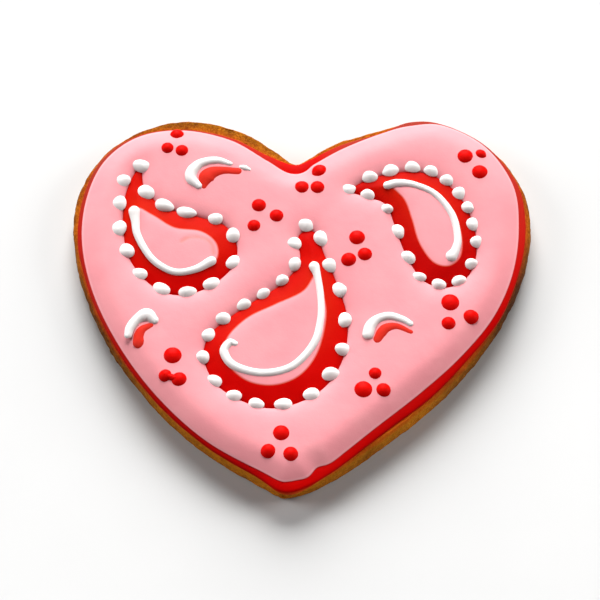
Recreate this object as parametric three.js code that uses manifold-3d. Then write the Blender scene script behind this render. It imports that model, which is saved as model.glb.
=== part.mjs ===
// Iced sugar cookie: a heart-shaped biscuit under a thin red coat and a thick pink flood,
// with three piped paisley figures, rows of white beads, crescents and dots.
// Millimetres, +Z up. The origin is under the middle of the cookie, on its flat underside.

import * as THREE from 'three';
import Module from 'manifold-3d';

const wasm = await Module();
wasm.setup();

// ---------------------------------------------------------------- heights above the underside
const BISCUIT_TOP = 5.6;
const COAT_TOP = 6.2;
const FLOOD_TOP = 8.15;
const POOL_TOP = 7.5;
const DROP_FLOOR = 6.9;
const DROP_TOP = 7.7;
const BEAD_FOOT = 7.42;
const BEAD_TOP = 8.6;
const STROKE_AXIS = 7.95;
const CRESCENT_AXIS = 8.1;
const DOT_RISE = 0.75;
const DOT_ROOT = 0.6;

// ---------------------------------------------------------------- clearances and steps
const GAP = 0.3;
const ROOM_USED = 0.6;
const EDGE = 0.02;
const STROKE_LEAN = 6;
const HEART_STEPS = 3;
const FIGURE_STEPS = 3;
const PATH_STEPS = 2;
const TUBE_SIDES = 8;
const LUMP_SIDES = 7;
const BEAD_SEED = 7;
const CRUMB_SEED = 11;
const CRUMB_DEPTH = 0.14;

// The heart, from its tip round to the right: x, y of the red coat's edge, how far the crust stands
// out beyond that edge, and how wide a rim of red the pink leaves inside it.
const HEART = [
  [-2.6, -41.3, -0.5, 2.2], [5.5, -37.35, 0.2, 1.65], [15.6, -29.15, 1.05, 1.65],
  [24.8, -21.7, 0.85, 1.85], [32.1, -13.7, 0.9, 1.2], [38.6, -5.2, 0.4, 1.15],
  [42.75, 4.55, 0.8, 1.1], [44.7, 15.0, 1.1, 1.4], [43.5, 25.0, 0.9, 1.2],
  [37.6, 33.9, 0.5, 0.6], [29.2, 38.95, 0.2, 0.35], [22.2, 39.7, 0.3, 1.1],
  [15.95, 37.0, 1.2, 0.2], [7.8, 34.2, 1.3, 1.1], [1.9, 31.0, 0.9, 1.5],
  [-1.4, 29.7, 0.8, 2.3], [-6.3, 31.6, 2.15, 1.3], [-14.1, 35.9, 2.6, 0.7],
  [-24.0, 37.9, 2.5, 0.32], [-33.3, 36.35, 1.25, 0.35], [-40.4, 30.8, 0.75, 0.75],
  [-43.85, 21.9, 1.35, 0.75], [-44.35, 11.4, 0.85, 0.75], [-41.25, -0.35, 0.75, 0.55],
  [-35.5, -12.25, 0.5, 0.8], [-27.9, -22.7, 0.15, 0.95], [-18.75, -31.4, 0.05, 0.95],
  [-8.75, -37.9, 0.0, 1.4],
];

// Inset and height of each ring of the biscuit's side, from the flat underside to the flat top.
const BISCUIT_PROFILE = [[1.1, 0], [0.4, 0.6], [0, 2.0], [0.05, 3.9], [0.3, 5.1], [0.7, BISCUIT_TOP]];
// Inset and height of the thin red coat's edge.
const COAT_PROFILE = [[0.1, BISCUIT_TOP], [0, 5.8], [0.08, 6.0], [0.35, COAT_TOP]];
// Inset and height of the pink flood's long slope up from the heart's edge.
const FLOOD_PROFILE = [[0, COAT_TOP], [0, 6.25], [0.4, 6.6], [1.8, 7.35], [3.2, 7.9], [5.2, FLOOD_TOP]];
// How far outside a figure's opening the flood has each height.
const LIP_PROFILE = [[0, 5.9], [0, 6.95], [0.5, 7.45], [3.4, 7.98], [3.6, 8.6]];
// Inset and height of a red pool's rounded edge and its slope up to the drop.
const POOL_PROFILE = [[GAP, COAT_TOP], [GAP, 6.45], [1.1, 6.85], [3.8, POOL_TOP]];
// Inset and height of a pink drop's edge.
const DROP_PROFILE = [[0, DROP_FLOOR], [0, 7.35], [1, DROP_TOP]];

// Three paisley figures. `opening` is the hole in the flood, `drop` the pink inlay, and `stroke` the
// white line along it as x, y, radius. The beads follow the opening: where the first one sits, how far
// apart they are, how far outside the edge, and their sizes.
const FIGURES = {
  left: {
    opening: [
      [-32.2, 28.0], [-33.6, 27.2], [-35.3, 22.0], [-35.5, 15.0], [-34.0, 8.0], [-29.6, 2.2], [-24.2, 0.0],
      [-18.2, 1.8], [-13.6, 6.2], [-12.8, 11.0], [-15.2, 15.4], [-21.2, 17.6], [-27.6, 19.7], [-31.4, 23.8],
    ],
    drop: [
      [-33.0, 18.9], [-32.4, 12.0], [-29.4, 6.6], [-24.4, 4.0], [-19.6, 5.2], [-16.6, 7.6], [-16.8, 11.2],
      [-20.0, 13.9], [-25.2, 14.7], [-29.6, 17.6],
    ],
    stroke: [
      [-33.3, 18.0, 1.15], [-33.0, 15.8, 0.86], [-32.4, 12.4, 0.72], [-29.5, 7.4, 0.7], [-25.3, 4.6, 0.7],
      [-21.2, 5.0, 0.75], [-17.8, 6.9, 1.0],
    ],
    beads: {
      start: 0.3,
      gaps: [
        4.6, 4.8, 5.5, 5.1, 5.8, 5.5, 5.2, 5.0, 6.5, 6.3, 5.4, 6.1, 4.6, 4.7, 5.9,
      ],
      out: [0.5, 1.5, 1.1, 1.0, 0.3, 0.4, 0.1, 0.1, 0.2, -0.1, -0.2, 0.1, -0.2, -0.1, -0.4],
      sizes: [1],
    },
  },
  centre: {
    opening: [
      [1.0, 14.4], [-0.8, 12.4], [-0.4, 7.4], [-4.0, 2.4], [-11.2, -2.6], [-17.6, -8.2], [-18.9, -14.0],
      [-15.2, -20.4], [-6.2, -24.2], [2.8, -21.2], [7.8, -14.4], [9.0, -5.4], [6.8, 3.0], [4.6, 8.8], [3.0, 13.4],
    ],
    drop: [
      [3.0, 4.6], [0.2, 0.6], [-5.4, -2.3], [-10.8, -5.2], [-14.6, -9.6], [-15.0, -14.2], [-11.0, -18.6],
      [-5.6, -19.8], [-0.4, -17.8], [3.2, -12.8], [4.9, -5.4], [4.4, 0.0],
    ],
    stroke: [
      [2.5, 5.7, 1.05], [3.1, 3.6, 0.72], [3.7, -0.6, 0.68], [3.7, -5.8, 0.72], [2.3, -11.2, 0.78],
      [-1.9, -16.0, 0.82], [-7.6, -17.35, 0.84], [-13.0, -15.8, 0.84], [-15.0, -12.9, 0.86],
      [-14.0, -10.9, 0.8], [-12.9, -11.1, 0.6],
    ],
    beads: {
      start: 0,
      gaps: [
        4.2, 5.1, 4.5, 4.7, 4.5, 5.0, 4.5, 4.9, 5.5, 4.9, 4.6, 5.3, 5.8, 5.8, 6.0, 6.5, 6.8, 5.7, 6.2, 4.0,
      ],
      out: [
        0.7, 1.0, 0.6, 0.2, 0, 0.2, 0.2, 0.2, 0.3, 0.2, 0.3, 0.1, 0, 0.1, -0.5, -0.5, -0.6, 0, -0.1, 0.4,
      ],
      sizes: [1, 0.86, 0.92, 0.92, 1, 0.98],
    },
  },
  right: {
    opening: [
      [10.0, 23.2], [12.8, 21.9], [16.8, 20.2], [18.6, 15.2], [20.6, 9.0], [24.0, 3.2], [28.8, 1.7],
      [33.0, 4.4], [34.7, 10.0], [33.9, 17.0], [30.6, 23.4], [25.4, 27.2], [18.6, 27.4], [12.4, 25.4],
    ],
    drop: [
      [17.6, 24.6], [20.4, 20.9], [21.8, 16.6], [23.2, 11.2], [25.8, 6.9], [28.9, 5.9], [31.4, 8.0],
      [31.9, 12.4], [30.6, 17.8], [27.4, 22.2], [22.6, 24.4],
    ],
    stroke: [
      [17.2, 23.9, 0.85], [19.3, 24.4, 0.86], [22.6, 24.0, 0.7], [26.8, 21.8, 0.68], [30.0, 17.1, 0.72],
      [30.9, 12.0, 0.76], [30.4, 9.4, 0.9], [29.6, 8.0, 1.2],
    ],
    beads: {
      start: 3.6,
      gaps: [
        5.5, 5.4, 6.2, 4.7, 4.1, 4.2, 4.8, 5.2, 4.0, 3.9, 3.6, 3.7, 3.7, 3.8, 4.4, 4.5, 4.7, 3.6,
      ],
      out: [0, 0.7, 0, 0.2, 0.6, 0, -0.1, -0.5, -0.1, -0.3, 0, 0.2, 0.3, 0.4, 0.7, 0.3, 0, 0.9],
      sizes: [0.84, 0.95, 0.84, 0.82, 0.88, 0.92],
    },
  },
};

// Three crescents: a raised white line over a flatter red one, each as x, y, radius.
const CRESCENTS = [
  {
    white: [[-20.6, 23.6, 0.75], [-22.1, 25.2, 1.15], [-21.9, 27.0, 1.2], [-20.1, 28.8, 0.95], [-17.0, 29.4, 0.8], [-14.3, 28.6, 0.5]],
    red: [[-19.5, 23.8, 0.75], [-19.1, 25.6, 1.7], [-17.9, 26.8, 1.5], [-15.6, 27.3, 1.0], [-12.8, 27.1, 0.9]],
  },
  {
    white: [[-33.7, -9.4, 0.8], [-33.3, -7.8, 0.95], [-32.0, -6.0, 1.05], [-30.2, -5.1, 1.45], [-28.7, -6.2, 0.9]],
    red: [[-31.5, -10.6, 1.3], [-31.5, -9.2, 1.1], [-30.9, -7.9, 0.95], [-29.4, -7.1, 0.7]],
  },
  {
    white: [[12.9, -9.2, 1.15], [13.5, -7.3, 1.1], [14.9, -5.9, 0.88], [17.2, -5.3, 0.84], [19.8, -6.1, 0.72], [21.2, -7.0, 0.62]],
    red: [[14.8, -10.0, 0.95], [15.6, -8.6, 1.15], [16.6, -7.6, 1.1], [18.6, -7.3, 0.8], [21.2, -8.5, 0.62]],
  },
];
const RED_CRESCENT_RISE = 0.2;
const STROKE_RISE = 0.85;
// The speck where the upper crescent's white line breaks off.
const SPECK = { at: [-11.3, 27.9], radius: 0.65, stretch: 1.5, turn: -0.2, top: 8.45 };

// Red dots in groups of three, each as x, y, radius.
const DOTS = [
  [[-25.2, 35.8, 1.3], [-27.0, 32.4, 1.25], [-24.1, 31.8, 1.3]],
  [[3.7, 27.3, 1.45], [0.1, 23.4, 1.4], [3.2, 23.4, 1.4]],
  [[-8.5, 19.3, 1.45], [-5.0, 17.0, 1.4], [-9.4, 14.8, 1.3]],
  [[11.0, 12.1, 1.6], [12.5, 8.4, 1.45], [9.4, 7.3, 1.5]],
  [[32.9, 30.5, 1.55], [36.0, 31.2, 1.1], [35.7, 26.9, 1.55]],
  [[29.1, -2.3, 1.8], [32.9, -5.1, 1.5], [28.6, -6.7, 1.4]],
  [[14.2, -17.4, 1.25], [11.9, -20.8, 1.75], [15.7, -20.8, 1.4]],
  [[-3.9, -29.9, 1.6], [-6.3, -33.4, 1.4], [-2.1, -34.1, 1.42]],
  [[-25.0, -13.6, 1.75], [-26.2, -17.7, 1.25], [-23.6, -18.6, 1.45]],
];

// ---------------------------------------------------------------- plan curves

/** Random numbers from 0 to 1, the same ones every time. */
function seeded(seed) {
  let state = seed;
  return () => {
    state = (state * 1664525 + 1013904223) % 4294967296;
    return state / 4294967296;
  };
}

/** A smooth curve through knots of up to three numbers, sampled `steps` times to each knot. */
function smooth(knots, steps, closed) {
  const vectors = knots.map(([x, y, z = 0]) => new THREE.Vector3(x, y, z));
  const curve = new THREE.CatmullRomCurve3(vectors, closed, 'catmullrom', 0.5);
  const spans = (closed ? knots.length : knots.length - 1) * steps;
  const count = closed ? spans : spans + 1;
  return Array.from({ length: count }, (_, i) => curve.getPoint(i / spans));
}

/** Unit vectors pointing out of a counter-clockwise outline, one for each of its points. */
function outward(outline) {
  const n = outline.length;
  return outline.map((_, i) => {
    const before = outline[(i + n - 1) % n];
    const after = outline[(i + 1) % n];
    return new THREE.Vector2(after.y - before.y, before.x - after.x).normalize();
  });
}

/** Radius of the largest circle that touches each point from one side, `side` 1 outside and -1 inside. */
function touching(outline, side) {
  return outward(outline).map((normal, i) => {
    const p = outline[i];
    const radii = outline.map((q) => {
      const reach = side * (normal.x * (q.x - p.x) + normal.y * (q.y - p.y));
      return reach > 1e-6 ? ((q.x - p.x) ** 2 + (q.y - p.y) ** 2) / (2 * reach) : Infinity;
    });
    return Math.min(...radii);
  });
}

/** The outline moved outwards by one distance or one for each point, less where there is no room. */
function offset(outline, distance) {
  const normals = outward(outline);
  const outside = touching(outline, 1);
  const inside = touching(outline, -1);
  return outline.map((p, i) => {
    const wish = typeof distance === 'number' ? distance : distance[i];
    const d = Math.max(Math.min(wish, ROOM_USED * outside[i]), -ROOM_USED * inside[i]);
    return new THREE.Vector2(p.x + normals[i].x * d, p.y + normals[i].y * d);
  });
}

/** The value at `share` of the way round a ring of evenly spaced, smoothly joined values. */
function ringValue(values, share) {
  const n = values.length;
  const at = share * n;
  const i = Math.floor(at);
  const u = at - i;
  const [a, b, c, d] = [-1, 0, 1, 2].map((k) => values[(i + k + n) % n]);
  return b + 0.5 * u * (c - a + u * (2 * a - 5 * b + 4 * c - d + u * (3 * (b - c) + d - a)));
}

/** How far each point of a closed outline is from its first point, along it, and its whole length. */
function arcLengths(outline) {
  const lengths = [0];
  outline.forEach((p, i) => {
    const next = outline[(i + 1) % outline.length];
    lengths.push(lengths[i] + Math.hypot(next.x - p.x, next.y - p.y));
  });
  return lengths;
}

// ---------------------------------------------------------------- solids

/** A closed solid through rings of equal length, capped at both ends by the given triangles. */
function skin(rings, capTriangles) {
  const n = rings[0].length;
  const faces = [];
  for (let k = 0; k + 1 < rings.length; k += 1) {
    for (let i = 0; i < n; i += 1) {
      const j = (i + 1) % n;
      const [a, b, c, d] = [k * n + i, k * n + j, (k + 1) * n + j, (k + 1) * n + i];
      faces.push([a, b, c], [a, c, d]);
    }
  }
  const last = (rings.length - 1) * n;
  capTriangles(rings[0]).forEach(([a, b, c]) => faces.push([c, b, a]));
  capTriangles(rings.at(-1)).forEach(([a, b, c]) => faces.push([last + a, last + b, last + c]));
  const points = rings.flat().flatMap((p) => [p.x, p.y, p.z]);
  return new wasm.Manifold(new wasm.Mesh({
    numProp: 3,
    vertProperties: new Float32Array(points),
    triVerts: new Uint32Array(faces.flat()),
  }));
}

/** The triangles that fill a level ring of any shape. */
function flatCap(ring) {
  return THREE.ShapeUtils.triangulateShape(ring.map((p) => new THREE.Vector2(p.x, p.y)), []);
}

/** The triangles of a fan over a small round ring. */
function fanCap(ring) {
  return ring.slice(2).map((_, i) => [0, i + 1, i + 2]);
}

/** Lifts a plan outline to a height. */
function level(outline, z) {
  return outline.map((p) => new THREE.Vector3(p.x, p.y, z));
}

/** A solid whose outline is moved in by each profile step's inset, at that step's height. */
function inset(outline, profile) {
  return skin(profile.map(([by, z]) => level(offset(outline, -by), z)), flatCap);
}

/** Like `inset`, but each point rises only as far as it has moved in, so that narrow tips stay low. */
function slopedInset(outline, profile) {
  const rings = [];
  profile.forEach(([by, z], k) => {
    const plan = level(offset(outline, -by), z);
    const [byBefore, zBefore] = profile[Math.max(k - 1, 0)];
    if (by > byBefore) {
      const slope = (z - zBefore) / (by - byBefore);
      plan.forEach((p, i) => {
        const before = rings.at(-1)[i];
        p.z = before.z + Math.max(EDGE, slope * Math.hypot(p.x - before.x, p.y - before.y));
      });
    }
    rings.push(plan);
  });
  return skin(rings, flatCap);
}

/** A round-ended bar along a path of x, y, radius, half sunk at `axisHeight`. */
function bar(path, axisHeight, rise) {
  const centres = smooth(path, PATH_STEPS, false);
  const ends = [[-0.8, 0.55], [-0.45, 0.88]];
  const stations = centres.map((p, i) => {
    const before = centres[Math.max(i - 1, 0)];
    const after = centres[Math.min(i + 1, centres.length - 1)];
    return { p, along: new THREE.Vector2(after.x - before.x, after.y - before.y).normalize(), radius: p.z };
  });
  const end = ({ p, along, radius }, [ahead, share], sign) => ({
    p: new THREE.Vector3(p.x + sign * ahead * radius * along.x, p.y + sign * ahead * radius * along.y, 0),
    along,
    radius: radius * share,
  });
  const head = ends.map((e) => end(stations[0], e, 1));
  const tail = ends.map((e) => end(stations.at(-1), e, -1)).reverse();
  const rings = [...head, ...stations, ...tail].map(({ p, along, radius }) => (
    Array.from({ length: TUBE_SIDES }, (_, k) => {
      const angle = ((k + 0.5) * 2 * Math.PI) / TUBE_SIDES;
      const aside = radius * Math.cos(angle);
      return new THREE.Vector3(
        p.x - along.y * aside,
        p.y + along.x * aside,
        axisHeight + radius * rise * Math.sin(angle),
      );
    })
  ));
  return skin(rings, fanCap);
}

/** A low rounded lump on an oval foot: `stretch` times longer along `turn`, its peak leaning by `lean`. */
function lump({ at, radius, stretch = 1, turn = 0, lean = [0, 0], foot, top }) {
  const shape = [[1, 0], [0.86, 0.6], [0.38, 1]];
  const rings = shape.map(([wide, high]) => (
    Array.from({ length: LUMP_SIDES }, (_, k) => {
      const angle = (k * 2 * Math.PI) / LUMP_SIDES;
      const p = new THREE.Vector2(radius * wide * stretch * Math.cos(angle), radius * wide * Math.sin(angle));
      p.rotateAround(new THREE.Vector2(), turn);
      return new THREE.Vector3(at[0] + p.x + lean[0] * high, at[1] + p.y + lean[1] * high, foot + (top - foot) * high);
    })
  ));
  return skin(rings, fanCap);
}

/** Joins solids one after another. */
function join(solids) {
  return solids.reduce((whole, piece) => whole.add(piece));
}

// ---------------------------------------------------------------- the heart's three outlines

const heartSamples = smooth(HEART, HEART_STEPS, true);
const heartMargins = smooth(HEART.map(([, , crust, rim]) => [crust, rim]), HEART_STEPS, true);
const coatEdge = heartSamples.map((p) => new THREE.Vector2(p.x, p.y));
const crustEdge = offset(coatEdge, heartMargins.map((m) => m.x));
const floodEdge = offset(coatEdge, heartMargins.map((m) => -m.y));
const openings = Object.fromEntries(
  Object.entries(FIGURES).map(([name, { opening }]) => [name, smooth(opening, FIGURE_STEPS, true)]),
);
const drops = Object.fromEntries(
  Object.entries(FIGURES).map(([name, { drop }]) => [name, smooth(drop, FIGURE_STEPS, true)]),
);

/** The shortest distance from a plan point to a closed outline. */
function distanceTo(outline, x, y) {
  return Math.min(...outline.map((a, i) => {
    const b = outline[(i + 1) % outline.length];
    const [ex, ey] = [b.x - a.x, b.y - a.y];
    const part = ((x - a.x) * ex + (y - a.y) * ey) / (ex * ex + ey * ey);
    const held = Math.max(0, Math.min(1, part));
    return Math.hypot(x - a.x - held * ex, y - a.y - held * ey);
  }));
}

/** The height at a distance, between the steps of a profile of distances and heights. */
function heightAt(profile, distance) {
  const k = profile.findIndex(([reach]) => reach > distance);
  if (k < 1) {
    return profile.at(-1)[1];
  }
  const [[near, low], [far, high]] = [profile[k - 1], profile[k]];
  return low + ((high - low) * (distance - near)) / (far - near);
}

/** Height of the flood's surface at a plan point. */
function floodHeight(x, y) {
  const dips = Object.values(openings).map((opening) => heightAt(LIP_PROFILE, distanceTo(opening, x, y)));
  return Math.min(heightAt(FLOOD_PROFILE, distanceTo(floodEdge, x, y)), ...dips);
}

// ---------------------------------------------------------------- the pieces

/** The biscuit: a flat heart with a bulging, crumbly side. */
function makeBiscuit() {
  const random = seeded(CRUMB_SEED);
  const lastRing = BISCUIT_PROFILE.length - 1;
  const rings = BISCUIT_PROFILE.map(([by, z], k) => {
    const rough = k === 0 || k === lastRing ? 0 : CRUMB_DEPTH;
    return level(offset(crustEdge, crustEdge.map(() => -by + rough * (2 * random() - 1))), z);
  });
  return skin(rings, flatCap);
}

/** The thin red coat that shows as a rim round the pink and hangs over the biscuit at the tip. */
function makeCoat() {
  return inset(coatEdge, COAT_PROFILE);
}

/** The domed pink flood, before its openings are cut. */
function makeDome() {
  return slopedInset(floodEdge, FLOOD_PROFILE);
}

/** What is taken out of the flood for one figure: its opening, wider above where the lip is round. */
function openingCut(name) {
  return skin(LIP_PROFILE.map(([by, z]) => level(offset(openings[name], by), z)), flatCap);
}

/** The row of white beads along one figure's opening. */
function beadRow(name, random) {
  const { start, gaps, out, sizes } = FIGURES[name].beads;
  const outline = openings[name];
  const normals = outward(outline);
  const lengths = arcLengths(outline);
  const whole = lengths.at(-1);
  const total = gaps.reduce((sum, gap) => sum + gap, 0);
  let along = start;
  return gaps.map((gap, i) => {
    const here = ((along % whole) + whole) % whole;
    const k = lengths.findIndex((reached) => reached > here) - 1;
    const next = (k + 1) % outline.length;
    const part = (here - lengths[k]) / (lengths[k + 1] - lengths[k]);
    const p = new THREE.Vector2().lerpVectors(outline[k], outline[next], part);
    const normal = new THREE.Vector2().lerpVectors(normals[k], normals[next], part);
    p.addScaledVector(normal, out[i]);
    along += (gap * whole) / total;
    return lump({
      at: [p.x, p.y],
      radius: (1.28 + 0.16 * random()) * ringValue(sizes, i / gaps.length),
      stretch: 1.02 + 0.22 * random(),
      turn: Math.atan2(normal.x, -normal.y) + 0.8 * (random() - 0.5),
      lean: [0.5 * (random() - 0.5), 0.5 * (random() - 0.5)],
      foot: BEAD_FOOT,
      top: BEAD_TOP + 0.3 * (random() - 0.5),
    });
  });
}

/** One red dot, rooted in the flood. */
function makeDot([x, y, radius]) {
  const surface = floodHeight(x, y);
  return lump({ at: [x, y], radius, foot: surface - DOT_ROOT, top: surface + DOT_RISE });
}

/** The pink flood with everything that is piped on it. */
function makeFlood() {
  const random = seeded(BEAD_SEED);
  const names = Object.keys(FIGURES);
  const opened = names.reduce((flood, name) => flood.subtract(openingCut(name)), makeDome());
  const beads = names.flatMap((name) => beadRow(name, random));
  const whites = CRESCENTS.map(({ white }) => bar(white, CRESCENT_AXIS, STROKE_RISE));
  const reds = CRESCENTS.map(({ red }) => bar(red, FLOOD_TOP - 0.1, RED_CRESCENT_RISE));
  const speck = lump({ ...SPECK, foot: FLOOD_TOP - DOT_ROOT });
  const dots = DOTS.flat().map(makeDot);
  return join([opened, ...beads, ...whites, ...reds, speck, ...dots]);
}

/** One red pool, hollowed for its pink drop. */
function makePool(name) {
  const bed = offset(drops[name], GAP);
  const recess = skin([level(bed, DROP_FLOOR), level(bed, POOL_TOP + 1)], flatCap);
  return slopedInset(openings[name], POOL_PROFILE).subtract(recess);
}

/** One pink drop with its white stroke, which leans out over the pool but stays clear of it. */
function makeDrop(name) {
  const wide = offset(drops[name], STROKE_LEAN);
  const narrow = offset(drops[name], EDGE);
  const around = skin([level(wide, COAT_TOP - 1), level(wide, POOL_TOP + GAP)], flatCap);
  const within = skin([level(narrow, DROP_FLOOR), level(narrow, FLOOD_TOP)], flatCap);
  const stroke = bar(FIGURES[name].stroke, STROKE_AXIS, STROKE_RISE).subtract(around.subtract(within));
  return slopedInset(drops[name], DROP_PROFILE).add(stroke);
}

// ---------------------------------------------------------------- the group

/** Turns a solid into a named mesh with its own material. */
function meshOf(name, solid, color, roughness) {
  const { vertProperties, triVerts } = solid.getMesh();
  const geometry = new THREE.BufferGeometry();
  geometry.setAttribute('position', new THREE.BufferAttribute(new Float32Array(vertProperties), 3));
  geometry.setIndex(new THREE.BufferAttribute(new Uint32Array(triVerts), 1));
  geometry.computeVertexNormals();
  const mesh = new THREE.Mesh(geometry, new THREE.MeshStandardMaterial({ color, roughness, metalness: 0 }));
  mesh.name = name;
  return mesh;
}

const BISCUIT_BROWN = 0xa9702b;
const ICING_RED = 0xcf0d0d;
const ICING_PINK = 0xf9b2b8;

const cookie = new THREE.Group();
cookie.add(meshOf('biscuit', makeBiscuit(), BISCUIT_BROWN, 0.85));
cookie.add(meshOf('red_coat', makeCoat(), ICING_RED, 0.45));
cookie.add(meshOf('pink_flood', makeFlood(), ICING_PINK, 0.5));
Object.keys(FIGURES).forEach((name) => {
  cookie.add(meshOf(`paisley_${name}`, makePool(name), ICING_RED, 0.4));
  cookie.add(meshOf(`drop_${name}`, makeDrop(name), ICING_PINK, 0.5));
});

export default cookie;
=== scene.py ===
# %% [markdown]
# # An iced heart cookie
#
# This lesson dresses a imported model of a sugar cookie: a golden biscuit under a thin red coat, a thick
# pink flood with three paisley figures in it, and beads, lines, crescents and dots piped on top. The new
# pieces are worked out in millimetres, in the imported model's own frame.

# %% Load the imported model
import math

import bpy
import numpy as np
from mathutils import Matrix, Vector
from mathutils.geometry import delaunay_2d_cdt


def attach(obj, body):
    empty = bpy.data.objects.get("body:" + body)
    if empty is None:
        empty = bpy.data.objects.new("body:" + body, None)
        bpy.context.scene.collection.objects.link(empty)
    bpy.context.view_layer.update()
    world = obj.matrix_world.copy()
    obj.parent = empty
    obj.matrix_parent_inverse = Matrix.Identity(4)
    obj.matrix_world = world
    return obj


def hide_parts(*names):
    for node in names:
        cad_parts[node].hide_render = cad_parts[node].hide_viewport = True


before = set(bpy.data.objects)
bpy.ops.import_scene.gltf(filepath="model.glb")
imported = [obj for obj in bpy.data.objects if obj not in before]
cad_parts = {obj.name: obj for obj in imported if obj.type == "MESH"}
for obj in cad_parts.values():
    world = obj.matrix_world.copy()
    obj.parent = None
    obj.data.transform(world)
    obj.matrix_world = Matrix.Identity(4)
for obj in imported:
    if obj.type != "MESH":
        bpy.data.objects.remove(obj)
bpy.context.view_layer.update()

MM = 0.001
scene = bpy.context.scene
print("packed nodes:", sorted(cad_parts))

# %% [markdown]
# Two numbers fix the view of a flat thing: how steeply the camera looks down, and from how far.
# Here it looks down at 64 degrees from half a metre, with a long lens, so the near and far sides of the
# heart are drawn at almost the same scale. The camera comes first because everything is judged through it.

# %% The camera
LOOK_DOWN = math.radians(64)
LOOK_FROM = 0.500
LOOK_AT = np.array([-0.3, -0.2, 5.0]) * MM
LENS = 152.4

camera = bpy.data.objects.new("camera", bpy.data.cameras.new("camera"))
camera.data.lens = LENS
camera.data.sensor_width = 36
camera.location = Vector(LOOK_AT) + LOOK_FROM * Vector((0, -math.cos(LOOK_DOWN), math.sin(LOOK_DOWN)))
camera.rotation_euler = (math.pi / 2 - LOOK_DOWN, 0, 0)
scene.collection.objects.link(camera)
scene.camera = camera
print("camera at", [round(c, 4) for c in camera.location])

# %% [markdown]
# The heart is drawn as a baker would describe it: a few points round the edge of the red coat, each with
# how far the crust stands out beyond it there and how wide a rim of red the pink leaves. A smooth closed
# curve through them gives every outline. The figures are drawn the same way, with few points each.

# %% The heart and its figures, in millimetres
# x, y of the red coat's edge, the crust beyond it, the red rim inside it
HEART = np.array([
    [-2.6, -41.3, -0.5, 2.05], [5.5, -37.35, 0.2, 1.65], [15.6, -29.15, 1.05, 1.65],
    [24.8, -21.7, 0.85, 1.85], [32.1, -13.7, 0.9, 1.2], [38.6, -5.2, 0.4, 1.15],
    [42.75, 4.55, 0.8, 1.1], [44.7, 15.0, 1.1, 1.4], [43.5, 25.0, 0.9, 1.0],
    [37.6, 33.9, 0.5, 0.4], [29.2, 38.95, 0.2, 0.35], [22.2, 39.7, 0.3, 1.1],
    [15.95, 37.0, 1.2, 0.2], [7.8, 34.2, 1.3, 1.1], [1.9, 31.0, 0.9, 1.5],
    [-1.4, 29.7, 0.8, 2.3], [-6.3, 31.6, 2.15, 1.3], [-14.1, 35.9, 2.6, 0.7],
    [-24.0, 37.9, 2.5, 0.32], [-33.3, 36.35, 1.25, 0.35], [-40.4, 30.8, 0.75, 0.75],
    [-43.85, 21.9, 1.35, 0.75], [-44.35, 11.4, 0.85, 0.75], [-41.25, -0.35, 0.75, 0.55],
    [-35.5, -12.25, 0.5, 0.7], [-27.9, -22.7, 0.15, 0.75], [-18.75, -31.4, 0.05, 0.75],
    [-8.75, -37.9, 0.0, 1.2],
])
HEART_CENTRE = np.array([0.0, -2.0])

OPENINGS = {
    "left": [
        [-32.2, 28.0], [-33.6, 27.2], [-35.3, 22.0], [-35.5, 15.0], [-34.0, 8.0], [-29.6, 2.2], [-24.2, 0.0],
        [-18.2, 1.8], [-13.6, 6.2], [-12.8, 11.0], [-15.2, 15.4], [-21.2, 17.6], [-27.6, 19.7], [-31.4, 23.8],
    ],
    "centre": [
        [1.0, 14.4], [-0.8, 12.4], [-0.4, 7.4], [-4.0, 2.4], [-11.2, -2.6], [-17.6, -8.2], [-18.9, -14.0],
        [-15.2, -20.4], [-6.2, -24.2], [2.8, -21.2], [7.8, -14.4], [9.0, -5.4], [6.8, 3.0], [4.6, 8.8],
        [3.0, 13.4],
    ],
    "right": [
        [10.0, 23.2], [12.8, 21.9], [16.8, 20.2], [18.6, 15.2], [20.6, 9.0], [24.0, 3.2], [28.8, 1.7],
        [33.0, 4.4], [34.7, 10.0], [33.9, 17.0], [30.6, 23.4], [25.4, 27.2], [18.6, 27.4], [12.4, 25.4],
    ],
}
DROPS = {
    "left": [
        [-33.0, 18.9], [-32.4, 12.0], [-29.4, 6.6], [-24.4, 4.0], [-19.6, 5.2], [-16.6, 7.6], [-16.8, 11.2],
        [-20.0, 13.9], [-25.2, 14.7], [-29.6, 17.6],
    ],
    "centre": [
        [3.0, 4.6], [0.2, 0.6], [-5.4, -2.3], [-10.8, -5.2], [-14.6, -9.6], [-15.0, -14.2], [-11.0, -18.6],
        [-5.6, -19.8], [-0.4, -17.8], [3.2, -12.8], [4.9, -5.4], [4.4, 0.0],
    ],
    "right": [
        [17.6, 24.6], [20.4, 20.9], [21.8, 16.6], [23.2, 11.2], [25.8, 6.9], [28.9, 5.9], [31.4, 8.0],
        [31.9, 12.4], [30.6, 17.8], [27.4, 22.2], [22.6, 24.4],
    ],
}
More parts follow.
